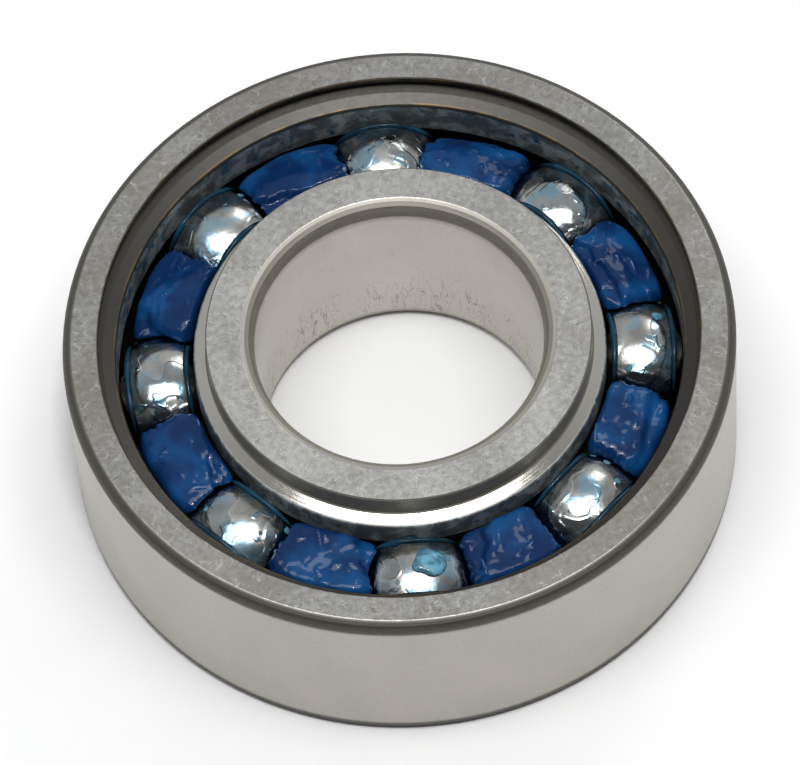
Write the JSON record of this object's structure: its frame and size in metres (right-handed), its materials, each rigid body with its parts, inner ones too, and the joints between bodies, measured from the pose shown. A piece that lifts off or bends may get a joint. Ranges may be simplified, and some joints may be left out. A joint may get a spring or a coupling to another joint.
{
  "type": "deep groove ball bearing",
  "caption": "Deep groove ball bearing with its front seal off, showing a riveted steel ribbon cage packed with blue grease, and a rubber seal on the back.",
  "frame": {"origin": "centre of the bore at mid width", "axes": "+Z along the bore axis out of the open, greased face; +X through the centre of ball_1"},
  "size_m": [0.035, 0.035, 0.011],
  "materials": {
    "outer_ring_steel": "ground, fine mottled grey on the face and cylinder, darker in the seal groove",
    "inner_ring_steel": "ground, fine mottled grey face with a smooth bright ledge",
    "ball_steel": "mirror polished",
    "cage_steel": "pressed sheet, polished and wet with grease",
    "rivet_steel": "smooth",
    "grease": "wet, glossy blue grease",
    "seal_rubber": "matt moulded rubber",
    "insert_steel": "plain stamped sheet"
  },
  "bodies": {
    "outer": {"outer_ring": "outer_ring_steel", "rear_seal_rubber": "seal_rubber", "rear_seal_insert": "insert_steel"},
    "inner": {"inner_ring": "inner_ring_steel"},
    "cage": {"cage_front": "cage_steel", "cage_rear": "cage_steel", "rivet_1": "rivet_steel", "rivet_2": "rivet_steel", "rivet_3": "rivet_steel", "rivet_4": "rivet_steel", "rivet_5": "rivet_steel", "rivet_6": "rivet_steel", "rivet_7": "rivet_steel", "rivet_8": "rivet_steel", "grease_front_1": "grease", "grease_front_2": "grease", "grease_front_3": "grease", "grease_front_4": "grease", "grease_front_5": "grease", "grease_front_6": "grease", "grease_front_7": "grease", "grease_front_8": "grease", "grease_rear_1": "grease", "grease_rear_2": "grease", "grease_rear_3": "grease", "grease_rear_4": "grease", "grease_rear_5": "grease", "grease_rear_6": "grease", "grease_rear_7": "grease", "grease_rear_8": "grease"},
    "ball_1": {"ball_1": "ball_steel"},
    "ball_2": {"ball_2": "ball_steel"},
    "ball_3": {"ball_3": "ball_steel"},
    "ball_4": {"ball_4": "ball_steel"},
    "ball_5": {"ball_5": "ball_steel"},
    "ball_6": {"ball_6": "ball_steel"},
    "ball_7": {"ball_7": "ball_steel"},
    "ball_8": {"ball_8": "ball_steel"}
  },
  "joints": [
    {"name": "inner_spin", "type": "hinge", "parent": "outer", "child": "inner", "pos_m": [0, 0, 0], "axis": [0, 0, 1], "continuous": true},
    {"name": "cage_spin", "type": "hinge", "parent": "outer", "child": "cage", "pos_m": [0, 0, 0], "axis": [0, 0, 1], "continuous": true},
    {"name": "ball_spin_1", "type": "hinge", "parent": "cage", "child": "ball_1", "pos_m": [0.0125, 0, 0], "axis": [0, 0, 1], "continuous": true},
    {"name": "ball_spin_2", "type": "hinge", "parent": "cage", "child": "ball_2", "pos_m": [0.00884, 0.00884, 0], "axis": [0, 0, 1], "continuous": true},
    {"name": "ball_spin_3", "type": "hinge", "parent": "cage", "child": "ball_3", "pos_m": [0, 0.0125, 0], "axis": [0, 0, 1], "continuous": true},
    {"name": "ball_spin_4", "type": "hinge", "parent": "cage", "child": "ball_4", "pos_m": [-0.00884, 0.00884, 0], "axis": [0, 0, 1], "continuous": true},
    {"name": "ball_spin_5", "type": "hinge", "parent": "cage", "child": "ball_5", "pos_m": [-0.0125, 0, 0], "axis": [0, 0, 1], "continuous": true},
    {"name": "ball_spin_6", "type": "hinge", "parent": "cage", "child": "ball_6", "pos_m": [-0.00884, -0.00884, 0], "axis": [0, 0, 1], "continuous": true},
    {"name": "ball_spin_7", "type": "hinge", "parent": "cage", "child": "ball_7", "pos_m": [0, -0.0125, 0], "axis": [0, 0, 1], "continuous": true},
    {"name": "ball_spin_8", "type": "hinge", "parent": "cage", "child": "ball_8", "pos_m": [0.00884, -0.00884, 0], "axis": [0, 0, 1], "continuous": true}
  ],
  "couplings": [
    {"joint": "cage_spin", "follows": "inner_spin", "ratio": 0.38094},
    {"joint": "ball_spin_1", "follows": "inner_spin", "ratio": -1.9807},
    {"joint": "ball_spin_2", "follows": "inner_spin", "ratio": -1.9807},
    {"joint": "ball_spin_3", "follows": "inner_spin", "ratio": -1.9807},
    {"joint": "ball_spin_4", "follows": "inner_spin", "ratio": -1.9807},
    {"joint": "ball_spin_5", "follows": "inner_spin", "ratio": -1.9807},
    {"joint": "ball_spin_6", "follows": "inner_spin", "ratio": -1.9807},
    {"joint": "ball_spin_7", "follows": "inner_spin", "ratio": -1.9807},
    {"joint": "ball_spin_8", "follows": "inner_spin", "ratio": -1.9807}
  ]
}
